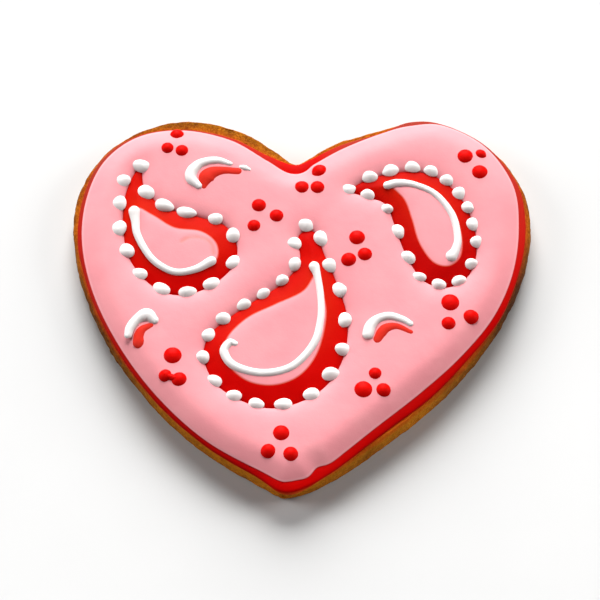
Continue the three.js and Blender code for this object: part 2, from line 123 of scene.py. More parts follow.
# x, y, radius of each white line
STROKES = {
    "left": [
        [-33.3, 18.0, 1.15], [-33.0, 15.8, 0.86], [-32.4, 12.4, 0.72], [-29.5, 7.4, 0.7], [-25.3, 4.6, 0.7],
        [-21.2, 5.0, 0.75], [-17.8, 6.9, 1.0],
    ],
    "centre": [
        [2.5, 5.7, 1.05], [3.1, 3.6, 0.72], [3.7, -0.6, 0.68], [3.7, -5.8, 0.72], [2.3, -11.2, 0.78],
        [-1.9, -16.0, 0.82], [-7.6, -17.35, 0.84], [-13.0, -15.8, 0.84], [-15.0, -12.9, 0.86],
        [-14.0, -10.9, 0.8], [-12.9, -11.1, 0.6],
    ],
    "right": [
        [17.2, 23.9, 0.85], [19.3, 24.4, 0.86], [22.6, 24.0, 0.7], [26.8, 21.8, 0.68], [30.0, 17.1, 0.72],
        [30.9, 12.0, 0.76], [30.4, 9.4, 0.9], [29.6, 8.0, 1.2],
    ],
}
# of each row: where its first bead sits, the gaps in proportion, how far out each bead is, and their sizes
BEAD_ROWS = {
    "left": (
        0.3,
        [4.6, 4.8, 5.5, 5.1, 5.8, 5.5, 5.2, 5.0, 6.5, 6.3, 5.4, 6.1, 4.6, 4.7, 5.9],
        [0.5, 1.5, 1.1, 1.0, 0.3, 0.4, 0.1, 0.1, 0.2, -0.1, -0.2, 0.1, -0.2, -0.1, -0.4],
        [1.2, 1.14, 1, 1, 1],
    ),
    "centre": (
        0,
        [4.2, 5.1, 4.5, 4.7, 4.5, 5.0, 4.5, 4.9, 5.5, 4.9, 4.6, 5.3, 5.8, 5.8, 6.0, 6.5, 6.8, 5.7, 6.2, 4.0],
        [0.7, 1.0, 0.6, 0.2, 0, 0.2, 0.2, 0.2, 0.3, 0.2, 0.3, 0.1, 0, 0.1, -0.5, -0.5, -0.6, 0, -0.1, 0.4],
        [1.15, 0.88, 0.95, 0.95, 1.02, 1],
    ),
    "right": (
        3.6,
        [5.5, 5.4, 6.2, 4.7, 4.1, 4.2, 4.8, 5.2, 4.0, 3.9, 3.6, 3.7, 3.7, 3.8, 4.4, 4.5, 4.7, 3.6],
        [0, 0.7, 0, 0.2, 0.6, 0, -0.1, -0.5, -0.1, -0.3, 0, 0.2, 0.3, 0.4, 0.7, 0.3, 0, 0.9],
        [0.9, 0.94, 0.86, 0.86, 0.92, 1.1],
    ),
}
# x, y, radius along each crescent, and of the speck that the tip left beside the first one
WHITE_CRESCENTS = [
    [
        [-20.6, 23.6, 0.75], [-22.1, 25.2, 1.15], [-21.9, 27.0, 1.2], [-20.1, 28.8, 0.95], [-17.0, 29.4, 0.8],
        [-14.3, 28.6, 0.5],
    ],
    [[-33.7, -9.4, 0.8], [-33.3, -7.8, 0.95], [-32.0, -6.0, 1.05], [-30.2, -5.1, 1.45], [-28.7, -6.2, 0.9]],
    [
        [12.9, -9.2, 1.15], [13.5, -7.3, 1.1], [14.9, -5.9, 0.88], [17.2, -5.3, 0.84], [19.8, -6.1, 0.72],
        [21.2, -7.0, 0.62],
    ],
]
SPECK = [[-12.1, 28.1, 0.45], [-11.3, 27.9, 0.6], [-10.4, 27.5, 0.3]]
RED_CRESCENTS = [
    [[-19.5, 23.8, 0.75], [-19.1, 25.6, 1.7], [-17.9, 26.8, 1.5], [-15.6, 27.3, 1.0], [-12.8, 27.1, 0.9]],
    [[-31.5, -10.6, 1.3], [-31.5, -9.2, 1.1], [-30.9, -7.9, 0.95], [-29.4, -7.1, 0.7]],
    [[14.8, -10.0, 0.95], [15.6, -8.6, 1.15], [16.6, -7.6, 1.1], [18.6, -7.3, 0.8], [21.2, -8.5, 0.62]],
]
# x, y, radius of each dot, in threes
DOTS = np.array([
    [-25.2, 35.8, 1.3], [-27.0, 32.4, 1.25], [-24.1, 31.8, 1.3],
    [3.7, 27.3, 1.45], [0.1, 23.4, 1.4], [3.2, 23.4, 1.4],
    [-8.5, 19.3, 1.45], [-5.0, 17.0, 1.4], [-9.4, 14.8, 1.3],
    [11.0, 12.1, 1.6], [12.5, 8.4, 1.45], [9.4, 7.3, 1.5],
    [32.9, 30.5, 1.55], [36.0, 31.2, 1.1], [35.7, 26.9, 1.55],
    [29.1, -2.3, 1.8], [32.9, -5.1, 1.5], [28.6, -6.7, 1.4],
    [14.2, -17.4, 1.25], [11.9, -20.8, 1.75], [15.7, -20.8, 1.4],
    [-3.9, -29.9, 1.6], [-6.3, -33.4, 1.4], [-2.1, -34.1, 1.42],
    [-25.0, -13.6, 1.75], [-26.2, -17.7, 1.25], [-23.6, -18.6, 1.45],
])
print("heart points:", len(HEART), "dots:", len(DOTS))

# %% [markdown]
# All heights are counted from the table. The biscuit is 5.6 mm thick, the red coat 0.6 mm, and the pink
# flood 1.7 mm more where it is fullest. The piping has settled to rather less than a round bar's height.

# %% Heights, in millimetres
BISCUIT_TOP = 5.6
COAT_TOP = 6.2
FLOOD_FOOT = 5.7
# the gap left between two pieces that lie on each other
CLEARANCE = 0.02
POOL_EDGE, DROP_FLOOR = 6.7, 6.9
BEAD_FOOT, BEAD_TOP = 6.7, 7.87
# the level from which a line or crescent rises, and below which it is pressed flat
STROKE_AXIS, CRESCENT_AXIS, SPECK_AXIS = 7.6, 7.9, 7.85
print("biscuit and coat:", BISCUIT_TOP, COAT_TOP, "bead tops about", BEAD_TOP)

# %% [markdown]
# A closed smooth curve through points is the plan of nearly every piece here. Between two points each span
# is the cubic that leaves and arrives along the line joining the neighbours, which needs no handles and
# never strays far from the points.

# %% Curves in plan


def cubic(a, b, c, d, u):
    """From b to c along the cubic with half the step from a to c, and from b to d, as its two slopes."""
    return b + 0.5 * u * (c - a + u * (2 * a - 5 * b + 4 * c - d + u * (3 * (b - c) + d - a)))


def smooth(knots, steps, closed=True):
    """Catmull-Rom curve: at a knot the slope is half the step between its two neighbours, and each span is
    the cubic with those slopes. An open curve is carried on in a straight line at both ends."""
    k = np.asarray(knots, float)
    around = [k[-1:], k, k[:2]] if closed else [2 * k[:1] - k[1:2], k, 2 * k[-1:] - k[-2:-1]]
    k_all = np.vstack(around)
    spans = len(k) if closed else len(k) - 1
    a, b, c, d = (k_all[i : i + spans, None] for i in range(4))
    u = (np.arange(steps) / steps)[None, :, None]
    points = cubic(a, b, c, d, u).reshape(-1, k.shape[1])
    return points if closed else np.vstack([points, k[-1:]])


def lengths_along(outline):
    """Distance of each point from the first, along a closed outline, with the whole length last."""
    steps = np.diff(np.vstack([outline, outline[:1]])[:, :2], axis=0)
    return np.concatenate([[0], np.cumsum(np.hypot(steps[:, 0], steps[:, 1]))])


def evenly(outline, spacing):
    """The same closed outline with its points the same distance apart, every column carried along."""
    along = lengths_along(outline)
    count = int(round(along[-1] / spacing))
    closed = np.vstack([outline, outline[:1]])
    at = np.arange(count) / count * along[-1]
    return np.column_stack([np.interp(at, along, column) for column in closed.T])


def outward(outline):
    """Unit vectors out of a counter-clockwise outline: the step between neighbours, turned right."""
    step = np.roll(outline, -1, 0) - np.roll(outline, 1, 0)
    normal = np.column_stack([step[:, 1], -step[:, 0]])
    return normal / np.linalg.norm(normal, axis=1, keepdims=True)


def touching(outline, side):
    """Radius of the largest circle that touches each point from one side: distance squared to another
    point over twice its reach along the normal, at its smallest."""
    normal = outward(outline)
    gap = outline[None] - outline[:, None]
    reach = side * np.einsum("ijk,ik->ij", gap, normal)
    radius = np.where(reach > 1e-6, (gap**2).sum(2) / np.maximum(2 * reach, 1e-9), np.inf)
    return radius.min(1)


def offset(outline, distance, used=0.6):
    """The outline moved outwards, but never by more than a share of the room that there is."""
    low, high = -used * touching(outline, -1), used * touching(outline, 1)
    return outline + outward(outline) * np.clip(distance * np.ones(len(outline)), low, high)[:, None]


def distance_to(points, loop):
    """Shortest distance from each point to a closed outline: to the nearest point of each straight piece."""
    step = np.roll(loop, -1, 0) - loop
    square = (step**2).sum(1)
    best = np.full(len(points), np.inf)
    for start in range(0, len(points), 4000):
        p = points[start : start + 4000, None] - loop[None]
        share = np.clip((p * step[None]).sum(2) / square, 0, 1)
        best[start : start + 4000] = np.sqrt(((p - share[..., None] * step[None]) ** 2).sum(2).min(1))
    return best


def inside(points, loop):
    """Whether each point is inside: a line to its right crosses the outline an odd number of times."""
    a, b = loop, np.roll(loop, -1, 0)
    answer = np.zeros(len(points), bool)
    for start in range(0, len(points), 4000):
        x, y = points[start : start + 4000, :1], points[start : start + 4000, 1:]
        spans = (a[:, 1] > y) != (b[:, 1] > y)
        rise = np.where(b[:, 1] == a[:, 1], 1e-12, b[:, 1] - a[:, 1])
        crosses = spans & (x < a[:, 0] + (y - a[:, 1]) * (b[:, 0] - a[:, 0]) / rise)
        answer[start : start + 4000] = crosses.sum(1) % 2 == 1
    return answer


def ring_value(values, share):
    """Value at a share of the way round a ring of evenly spaced, smoothly joined values."""
    values = np.asarray(values, float)
    at = share * len(values)
    i = int(at)
    return cubic(*(values[(i + k) % len(values)] for k in (-1, 0, 1, 2)), at - i)


def between(x, pairs):
    """A number that changes evenly between the values given at some places or angles."""
    return np.interp(x, *np.transpose(pairs))


def climb(x, start, end):
    """0 at the start and 1 at the end, evenly between them and unchanged beyond: the share of the way."""
    return np.clip((x - start) / (end - start), 0, 1)


def bump(x, centre, width):
    """A soft hill of height 1: e to the minus square of the distance in widths."""
    return np.exp(-(((x - centre) / width) ** 2))


# %% [markdown]
# From the heart's points come three outlines: the crust, the red coat's edge, and the pink flood's edge. To
# the right of the tip the pink has crept forward in three soft scallops, so its rim is narrower or wider
# there by a few tenths of a millimetre.

# %% The three outlines of the heart
EDGE_SPACING = 0.25
TIP_BELOW = -25
# x, width and height of each scallop
SCALLOPS = [(1.7, 1.5, -0.35), (4.2, 1.2, 0.55), (7.0, 1.4, -0.1)]

heart = evenly(smooth(HEART, 24), EDGE_SPACING)
coat_edge = heart[:, :2]
near_tip = coat_edge[:, 1] < TIP_BELOW
rim = heart[:, 3] + near_tip * sum(height * bump(coat_edge[:, 0], x, wide) for x, wide, height in SCALLOPS)
crust_edge = offset(coat_edge, heart[:, 2])
flood_edge = offset(coat_edge, -rim)
openings = {name: evenly(smooth(knots, 24), EDGE_SPACING) for name, knots in OPENINGS.items()}
drops = {name: evenly(smooth(knots, 24), EDGE_SPACING) for name, knots in DROPS.items()}
print("round the heart:", round(lengths_along(heart)[-1], 1), "mm,", len(heart), "points")

# %% [markdown]
# Nothing baked or poured is quite even. A repeatable noise is made from a table of random numbers on a
# grid, smoothed between its corners; adding finer and finer copies gives crumbs, and a single coarse copy
# gives the slow swell of poured icing.

# %% Repeatable noise


def lattice(i, j, k, seed):
    """A fixed number from -1 to 1 for each corner of a grid, mixed from its three indices and a seed."""
    h = (i * 374761393 + j * 668265263 + k * 1274126177 + seed * 97471).astype(np.uint32)
    h = (h ^ (h >> 13)) * np.uint32(1274126177)
    h = h ^ (h >> 16)
    return h.astype(float) / 2147483647.5 - 1


def noise(points, size, seed):
    """Smooth noise with lumps of one size: corner values blended by 3u^2 - 2u^3 along each axis."""
    q = np.asarray(points, float) / size
    if q.shape[1] == 2:
        q = np.column_stack([q, np.zeros(len(q))])
    cell = np.floor(q).astype(np.int64)
    u = q - cell
    u = u * u * (3 - 2 * u)
    total = np.zeros(len(q))
    for dx in (0, 1):
        for dy in (0, 1):
            for dz in (0, 1):
                weight = np.prod(np.where([dx, dy, dz], u, 1 - u), axis=1)
                total += weight * lattice(cell[:, 0] + dx, cell[:, 1] + dy, cell[:, 2] + dz, seed)
    return total


def crumbs(points, size, seed, octaves=4):
    """Noise of halving sizes and halving heights, added up."""
    return sum(noise(points, size / 2**o, seed + o) / 2**o for o in range(octaves))


def swells(points, kinds):
    """Slow swells added up, each with its height, the size of its lumps and its seed."""
    return sum(height * noise(points, size, seed) for height, size, seed in kinds)


# %% [markdown]
# Every new piece goes through one door, which makes its mesh in metres, smooths its shading, hangs it on
# the root body, hides the imported nodes that it stands for, and gives it its finish.

# %% Making a piece


def make_piece(name, points, faces, finish, slot, nodes=(), values=None, sharp=50):
    """A piece from points in millimetres and lists of corners, with named numbers for each point. Folds
    sharper than an angle stay sharp."""
    mesh = bpy.data.meshes.new(name)
    mesh.from_pydata((np.asarray(points) * MM).tolist(), [], faces)
    mesh.update(calc_edges=True)
    mesh.shade_smooth()
    mesh.set_sharp_from_angle(angle=math.radians(sharp))
    for key, numbers in (values or {}).items():
        mesh.attributes.new(key, "FLOAT", "POINT").data.foreach_set("value", np.asarray(numbers, np.float32))
    piece = bpy.data.objects.new(name, mesh)
    scene.collection.objects.link(piece)
    mesh.materials.append(finish.material)
    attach(piece, "root")
    if nodes:
        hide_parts(*nodes)
    triangles = sum(len(f) - 2 for f in faces)
    print(f"{name}: {len(points)} points, {triangles} triangles")
    return piece


def skins(grids):
    """Points and faces of closed skins. Each grid is rows of rings; rings are joined by quads, and the two
    end rings are closed by a fan to their middle."""
    points, faces, base = [], [], 0
    for grid in grids:
        rows, n, _ = grid.shape
        here = base + np.arange(rows * n).reshape(rows, n)
        right = np.roll(here, -1, 1)
        quads = np.stack([here[:-1], right[:-1], right[1:], here[1:]], axis=-1).reshape(-1, 4)
        start, end = base + rows * n, base + rows * n + 1
        fan_start = np.column_stack([right[0], here[0], np.full(n, start)])
        fan_end = np.column_stack([here[-1], right[-1], np.full(n, end)])
        points += [grid.reshape(-1, 3), grid[0].mean(0, keepdims=True), grid[-1].mean(0, keepdims=True)]
        faces += quads.tolist() + fan_start.tolist() + fan_end.tolist()
        base += rows * n + 2
    return np.vstack(points), faces


# %% [markdown]
# A finish is a Principled surface with a little life in it: dried royal icing is satin, a touch uneven in
# colour, and its skin has a fine grain. The noise is read in object coordinates, so it sits still on the
# cookie and stays at its true size.

# %% Node helpers for the finishes


def srgb(r, g, b):
    """A colour given from 0 to 255 as a screen shows it, turned into the linear light that shaders mix."""
    c = np.array([r, g, b]) / 255
    c = np.where(c <= 0.04045, c / 12.92, ((c + 0.055) / 1.055) ** 2.4)
    return (float(c[0]), float(c[1]), float(c[2]), 1.0)


class Finish:
    """A material with short ways to add and join nodes."""

    def __init__(self, name, roughness, specular):
        self.material = bpy.data.materials.new(name)
        self.material.use_nodes = True
        self.nodes = self.material.node_tree.nodes
        self.links = self.material.node_tree.links
        self.shader = self.nodes["Principled BSDF"]
        self.shader.inputs["Roughness"].default_value = roughness
        self.shader.inputs["Specular IOR Level"].default_value = specular
        self.place = self.nodes.new("ShaderNodeTexCoord").outputs["Object"]

    def add(self, kind, inputs=None, **settings):
        """A node with its settings; an input is joined to a socket or given a value."""
        node = self.nodes.new(kind)
        for key, value in settings.items():
            setattr(node, key, value)
        for key, value in (inputs or {}).items():
            if isinstance(value, bpy.types.NodeSocket):
                self.links.new(value, node.inputs[key])
            else:
                node.inputs[key].default_value = value
        return node

    def grain(self, size_mm, detail=2.0, roughness=0.5):
        """Noise from 0 to 1 with lumps of about this size."""
        scale = 1 / (size_mm * MM)
        inputs = {"Vector": self.place, "Scale": scale, "Detail": detail, "Roughness": roughness}
        return self.add("ShaderNodeTexNoise", inputs).outputs["Fac"]

    def number(self, name):
        """A number kept on the mesh's points."""
        return self.add("ShaderNodeAttribute", attribute_name=name).outputs["Fac"]

    def ramp(self, value, low, high, to_low=0.0, to_high=1.0):
        """The value's place between low and high, smoothly, as a number between two others."""
        inputs = {"Value": value, "From Min": low, "From Max": high, "To Min": to_low, "To Max": to_high}
        return self.add("ShaderNodeMapRange", inputs, interpolation_type="SMOOTHSTEP").outputs["Result"]

    def blend(self, share, one, other):
        """Colour one where share is 0 and the other where it is 1."""
        return self.add("ShaderNodeMix", {0: share, 6: one, 7: other}, data_type="RGBA").outputs[2]

    def math(self, how, a, b):
        """The sum, product or difference of two numbers."""
        return self.add("ShaderNodeMath", {0: a, 1: b}, operation=how).outputs[0]

    def share_of(self, name, most):
        """A number kept on the mesh, times the most that it may count for."""
        return self.math("MULTIPLY", self.number(name), most)

    def colour(self, value):
        """The surface's colour."""
        self.links.new(value, self.shader.inputs["Base Color"])

    def tint(self, share, over):
        """Another colour laid over the present one, by a share."""
        present = self.shader.inputs["Base Color"].links[0].from_socket
        self.colour(self.blend(share, present, over))

    def relief(self, height, depth_mm):
        """Bump: the height socket's 0 to 1 is this deep."""
        inputs = {"Height": height, "Distance": depth_mm * MM, "Strength": 1.0}
        node = self.add("ShaderNodeBump", inputs)
        self.links.new(node.outputs["Normal"], self.shader.inputs["Normal"])

    def roughness(self, value):
        """The surface's roughness."""
        self.links.new(value, self.shader.inputs["Roughness"])


# %% [markdown]
# Royal icing is sugar and egg white, dried hard: opaque, satin rather than glossy, and nearly one colour.
# Two close colours in soft patches and a bump of a twentieth of a millimetre are enough, where an image
# would only blur near by. The reds have the least gloss, because it would wash out a colour this deep.

# %% The icing finishes
PATCH_SIZE, FINE_SIZE, BROAD_SIZE = 7.0, 0.35, 2.2
FINE_SHARE, SKIN_DEPTH, SATIN_SPAN = 0.35, 0.05, 0.04


def icing(name, light, deep, roughness, specular=0.06):
    """Dried royal icing: two close colours in soft patches, a fine grain, and roughness that wanders."""
    finish = Finish(name, roughness, specular)
    patches = finish.ramp(finish.grain(PATCH_SIZE, detail=3.0), 0.3, 0.7)
    finish.colour(finish.blend(patches, deep, light))
    fine = finish.grain(FINE_SIZE, detail=2.0)
    broad = finish.grain(BROAD_SIZE, detail=1.0)
    finish.relief(finish.math("ADD", finish.math("MULTIPLY", fine, FINE_SHARE), broad), SKIN_DEPTH)
    finish.roughness(finish.ramp(patches, 0.0, 1.0, roughness - SATIN_SPAN, roughness + SATIN_SPAN))
    return finish


pink_finish = icing("pink_icing", srgb(236, 153, 159), srgb(233, 147, 154), 0.46)
white_finish = icing("white_icing", srgb(236, 232, 230), srgb(232, 228, 226), 0.42)
dot_finish = icing("red_dot_icing", srgb(212, 12, 8), srgb(207, 10, 6), 0.4, specular=0.02)
orange_finish = icing("orange_red_icing", srgb(214, 52, 40), srgb(208, 44, 32), 0.42, specular=0.02)
print("finishes:", [f.material.name for f in (pink_finish, white_finish, dot_finish, orange_finish)])

# %% [markdown]
# The biscuit is rolled dough cut with a heart cutter and baked: a flat underside, a side that bulges
# slightly, and a rounded top edge. It is a grid of rings, one point on each ring for each step round the
# heart. Crumbs push its side in and out by a tenth or two of a millimetre, and pits mark the underside.

# %% The biscuit's surface
# how far in from the crust's edge, and how high, from the underside to the top
BISCUIT_PROFILE = [[1.1, 0.0], [0.4, 0.6], [0.0, 2.0], [0.05, 3.9], [0.3, 5.1], [0.7, BISCUIT_TOP]]
# the flat faces' rings, as shares of the outermost
SHARES_IN = [0.999, 0.99, 0.975, 0.95, 0.91, 0.85, 0.75, 0.6, 0.42, 0.22, 0.06]
DRIP_AT, DRIP_HALF, DRIP_BELOW = -1.6, 4.5, -30
CRUMB_SEED, PIT_SEED = 11, 20
CRUMB_SIZE, CRUMB_OUT, CRUMB_UP = 1.7, 0.13, 0.07
PIT_SIZE, PIT_IN, PIT_DOWN = 0.9, 0.45, 0.2
UNDER_PIT, UNDER_CRUMB, UNDER_MOST = 0.5, 0.05, 0.2
WORN_BY_DRIP, TOP_EDGE_RINGS = 0.1, 4


def drip_share(outline):
    """How much of the run over the tip is at each point of an outline: 1 in its middle, 0 at its ends. It
    is one minus the square of the distance in half widths, to the power 1.3, so both ends run out softly."""
    across = np.clip(1 - ((outline[:, 0] - DRIP_AT) / DRIP_HALF) ** 2, 0, 1)
    return across**1.3 * (outline[:, 1] < DRIP_BELOW)


def ring(outline, inset, z):
    """A ring at one height, moved in by an inset."""
    moved = offset(outline, -np.asarray(inset, float))
    return np.column_stack([moved, np.broadcast_to(z, len(moved))])


def inner_rings(ring_in, shares):
    """Rings drawn in towards the heart's centre, at the height of the ring that they start from."""
    rings = []
    for share in shares:
        plan = HEART_CENTRE + (ring_in[:, :2] - HEART_CENTRE) * share
        rings.append(np.column_stack([plan, ring_in[:, 2]]))
    return rings


profile = smooth(BISCUIT_PROFILE, 6, closed=False)
side = [ring(crust_edge, by, max(z, 0.0)) for by, z in profile]
grid = np.stack(inner_rings(side[0], SHARES_IN[::-1]) + side + inner_rings(side[-1], SHARES_IN))
rows, first, last = len(grid), len(SHARES_IN), len(SHARES_IN) + len(side)
top_edge = last - TOP_EDGE_RINGS

on_side = np.zeros((rows, 1))
on_side[first:last, 0] = np.sin(np.linspace(0.12, 0.9, len(side)) * math.pi)
flat = grid.reshape(-1, 3)
rough = crumbs(flat, CRUMB_SIZE, CRUMB_SEED).reshape(rows, -1)
pits = np.clip(noise(flat, PIT_SIZE, PIT_SEED).reshape(rows, -1) - 0.45, 0, 1)
push = on_side * (CRUMB_OUT * rough - PIT_IN * pits) - WORN_BY_DRIP * drip_share(crust_edge) * on_side
grid[..., :2] += outward(crust_edge)[None] * push[..., None]
grid[top_edge:, :, 2] += CRUMB_UP * rough[top_edge:] - PIT_DOWN * pits[top_edge:]
grid[:first, :, 2] += np.clip(UNDER_PIT * pits[:first] + UNDER_CRUMB * rough[:first], 0, UNDER_MOST)
biscuit_points, biscuit_faces = skins([grid])
print("biscuit relief from", round(float(rough.min()), 2), "to", round(float(rough.max()), 2))

# %% [markdown]
# Baked dough is gold, darker on the right side and a stretch of the left. Its paleness is given at some
# angles round the heart, and holds baked browning and painted light and shade both. Under the coat's edge the
# side is stained red, brightened in front as painted light; in front its upper half is lighter, as painted
# light;
# painted shade darkens a stretch of the right side; and its bottom edge is paler. All of that follows the
# surface, so it is kept as numbers on the mesh, and noise breaks it up into specks of a half millimetre.

# %% The biscuit's finish and piece
# the angle round the heart in degrees, and how pale the side is there, from 0 darkest to 1 palest: baked
# browning and painted light and shade both, given angle by angle
PALE = [
    (-180, 0.2), (-166, 0.1), (-138, 0.5), (-116, 0.62), (-102, 0.72), (-90, 0.8), (-82, 0.62), (-68, 0.55),
    (-51, 0.9), (-31, 0.42), (-13, 0.22), (0, 0.08), (9, 0.3), (16, 0.55), (24, 0.3), (40, 0.45), (110, 0.45),
    (135, 0.3), (160, 0.42), (172, 0.4), (180, 0.2),
]
# the heights between which the side gets lighter in front as painted light, redder as a stain brightened by
# painted light, redder beside the coat, and paler
UPPER_SIDE, UNDER_COAT, BESIDE_COAT, FOOT = (2.6, 4.8), (4.7, 5.5), (5.2, 5.5), (1.3, 0)


def way_round(points):
    """The angle of each point in degrees, counted from the right side round a middle at x 0, y 2."""
    return np.degrees(np.arctan2(points[:, 1] - 2, points[:, 0]))


height, way = biscuit_points[:, 2], way_round(biscuit_points)
pale = between(way, PALE)
front = np.concatenate([np.tile(np.clip(-1.6 * outward(crust_edge)[:, 1], 0, 1), rows), [0, 0]])
inner = np.exp(-distance_to(biscuit_points[:, :2], coat_edge) / 0.5) * climb(height, *BESIDE_COAT)
numbers = {
    # baked browning and painted light and shade both, given at angles round the heart
    "pale": pale,
    # painted light: the front's upper side made lighter, where its top edge would catch the light
    "crown": front * climb(height, *UPPER_SIDE) * np.clip(1.7 * pale - 0.3, 0, 1),
    # a red stain under the coat's edge, its front part brightened as painted light on the crust's top edge
    "red_stain_and_painted_light": np.clip(0.8 * front * climb(height, *UNDER_COAT) + 0.6 * (1 - front) * inner, 0, 1),
    # painted shade: a dark grey-brown stretch of the right side, and a fainter one further down it
    "painted_shade": 0.6 * bump(way, -2, 14) + 0.25 * bump(way, -36, 6),
    "foot_pale": climb(height, *FOOT),
}

dough = Finish("baked_dough", 0.85, specular=0.05)
patchy = dough.math("SUBTRACT", dough.grain(2.4, detail=5.0, roughness=0.7), 0.5)
paleness = dough.math("ADD", dough.number("pale"), dough.math("MULTIPLY", patchy, 0.9))
specks = dough.ramp(dough.grain(0.5, detail=3.0, roughness=0.75), 0.36, 0.66)
brown = dough.blend(specks, srgb(74, 36, 10), srgb(124, 74, 18))
gold = dough.blend(specks, srgb(190, 102, 12), srgb(232, 144, 28))
dough.colour(dough.blend(dough.ramp(paleness, 0.0, 1.0), brown, gold))
# painted light: the front's upper side turned a lighter gold
dough.tint(dough.share_of("crown", 0.6), srgb(212, 136, 34))
# the red stain, brightened in front as painted light
dough.tint(dough.share_of("red_stain_and_painted_light", 0.7), srgb(226, 78, 18))
# painted shade on the right side's dark stretch
dough.tint(dough.number("painted_shade"), srgb(74, 42, 30))
dough.tint(dough.share_of("foot_pale", 0.45), srgb(196, 150, 92))
dough.relief(dough.grain(0.5, detail=5.0, roughness=0.75), 0.34)
make_piece(
    "biscuit_dough", biscuit_points, biscuit_faces, dough, "biscuit", ["biscuit"], numbers, sharp=180,
)

# %% [markdown]
# The red coat is thin icing flooded to a line near the crust's edge: a low rounded lip all round, and a
# run over the tip, where it was too wet to stop. It is made as rings too, with the skirt of the lip pulled
# down over the biscuit's side where it ran.

# %% The red coat
# the angle round the heart in degrees, and how deep or how like brick the red is there
DEEP_RED = [
    (-180, 0.5), (-165, 0.75), (-140, 0.9), (-105, 0.85), (-92, 0.1), (-75, 0.3), (-55, 0.5), (-30, 0.35),
    (0, 0.2), (30, 0), (115, 0), (135, 0.5), (160, 0.4), (180, 0.5),
]
BRICK_RED = [
    (-180, 0.3), (-160, 0.1), (-135, 0), (-10, 0), (8, 0.1), (24, 0.4), (42, 0.9), (70, 0.9), (78, 0.4),
    (84, 0), (97, 0), (104, 0.3), (120, 0.8), (145, 0.9), (165, 0.3), (180, 0.3),
]
# how far in from the coat's edge, and how high, from under the lip to the top
LIP = [[0.2, 5.4], [0.03, 5.52], [0.0, 5.68], [0.06, 5.84], [0.2, 5.97], [0.6, 6.09], [1.3, COAT_TOP]]
# the run over the tip: the height that it starts at, the height that it reaches, how far it stands out
RUN_FROM, RUN_DOWN, RUN_OUT = 6.1, 5.0, 0.12
# the steps in which the lip's underside is tucked in, and how far
TUCKS, TUCK_START, TUCK_LENGTH = (0.55, 0.75, 0.9), 0.25, 1.6
# the heights between which the lip's lower rows turn orange, and the most: partly thin icing over the gold
# crust, partly painted light on the lip's shaded face
THIN_AND_LIT_FROM, THIN_AND_LIT_AT, THIN_AND_LIT_MOST = 5.88, 5.53, 0.75
COAT_SWELLS = [(0.05, 5.0, 21), (0.03, 1.8, 22)]

drip = drip_share(coat_edge)
swell = swells(coat_edge, COAT_SWELLS)
rings = []
for by, z in smooth(LIP, 3, closed=False):
    run = drip * climb(z, RUN_FROM, LIP[0][1]) ** 1.5
    level = ring(coat_edge, by - swell - RUN_OUT * run, z)
    level[:, 2] -= run * (z - RUN_DOWN)
    rings.append(level)
for pull in TUCKS:
    under = rings[0] * 1.0
    tucked = offset(coat_edge, -(TUCK_START + TUCK_LENGTH * pull))
    under[:, :2] = rings[0][:, :2] * (1 - pull) + tucked * pull
    under[:, 2] = rings[0][:, 2] * (1 - pull) + (BISCUIT_TOP + CLEARANCE) * pull
    rings.insert(0, under)
grid = np.stack(inner_rings(rings[0], SHARES_IN[2:][::-1]) + rings + inner_rings(rings[-1], SHARES_IN[2:]))
coat_points, coat_faces = skins([grid])

way = way_round(coat_points)
numbers = {
    "deep": between(way, DEEP_RED),
    "brick": between(way, BRICK_RED),
    "thin": climb(coat_points[:, 2], THIN_AND_LIT_FROM, THIN_AND_LIT_AT) * THIN_AND_LIT_MOST,
}
coat_finish = icing("red_coat_icing", srgb(196, 5, 3), srgb(188, 3, 2), 0.42, specular=0.015)
coat_finish.tint(coat_finish.number("deep"), srgb(148, 4, 6))
coat_finish.tint(coat_finish.number("brick"), srgb(150, 56, 42))
# painted light with thin icing: the lip's lower rows turn orange
coat_finish.tint(coat_finish.number("thin"), srgb(224, 84, 24))
make_piece(
    "red_coat_icing", coat_points, coat_faces, coat_finish, "red_icing", ["red_coat"], numbers, sharp=180,
)

# %% [markdown]
# Poured icing is a puddle: level in the middle, and rounded down at every edge by its own surface tension.
# Its height is therefore a function of how far a point is from the edges. The plan is filled with
# triangles, with rows of points close together along each edge, where the surface turns fastest; the foot
# is the same outline again, flat.

# %% A puddle of icing
EDGE_ROWS = [0.06, 0.15, 0.28, 0.45, 0.7, 1.05, 1.5]
FILL_SPACING = 0.55


def fill(loops, extra, folds=()):
    """Triangles over the plan inside the first loop and outside the others, through the extra points."""
    points = np.vstack([*loops, *folds, extra])
    edges, start = [], 0
    for loop in [*loops, *folds]:
        here = start + np.arange(len(loop))
        edges += np.column_stack([here, np.roll(here, -1)]).tolist()
        start += len(loop)
    base = sum(len(loop) for loop in loops)
    corners, _, triangles, *_ = delaunay_2d_cdt([Vector(p) for p in points], edges, [], 0, 1e-9, False)
    corners, triangles = np.array(corners), np.array(triangles)
    assert len(corners) == len(points), "two points of a puddle fall together"
    on_edge = (triangles < base).all(1)
    middle = corners[triangles[on_edge]].mean(1)
    keep = inside(middle, loops[0])
    for hole in loops[1:]:
        keep &= ~inside(middle, hole)
    kept = np.ones(len(triangles), bool)
    kept[on_edge] = keep
    triangles = triangles[kept]
    a, b, c = (corners[triangles[:, i]] for i in range(3))
    turn = (b[:, 0] - a[:, 0]) * (c[:, 1] - a[:, 1]) - (b[:, 1] - a[:, 1]) * (c[:, 0] - a[:, 0])
    triangles[turn < 0] = triangles[turn < 0][:, ::-1]
    return triangles


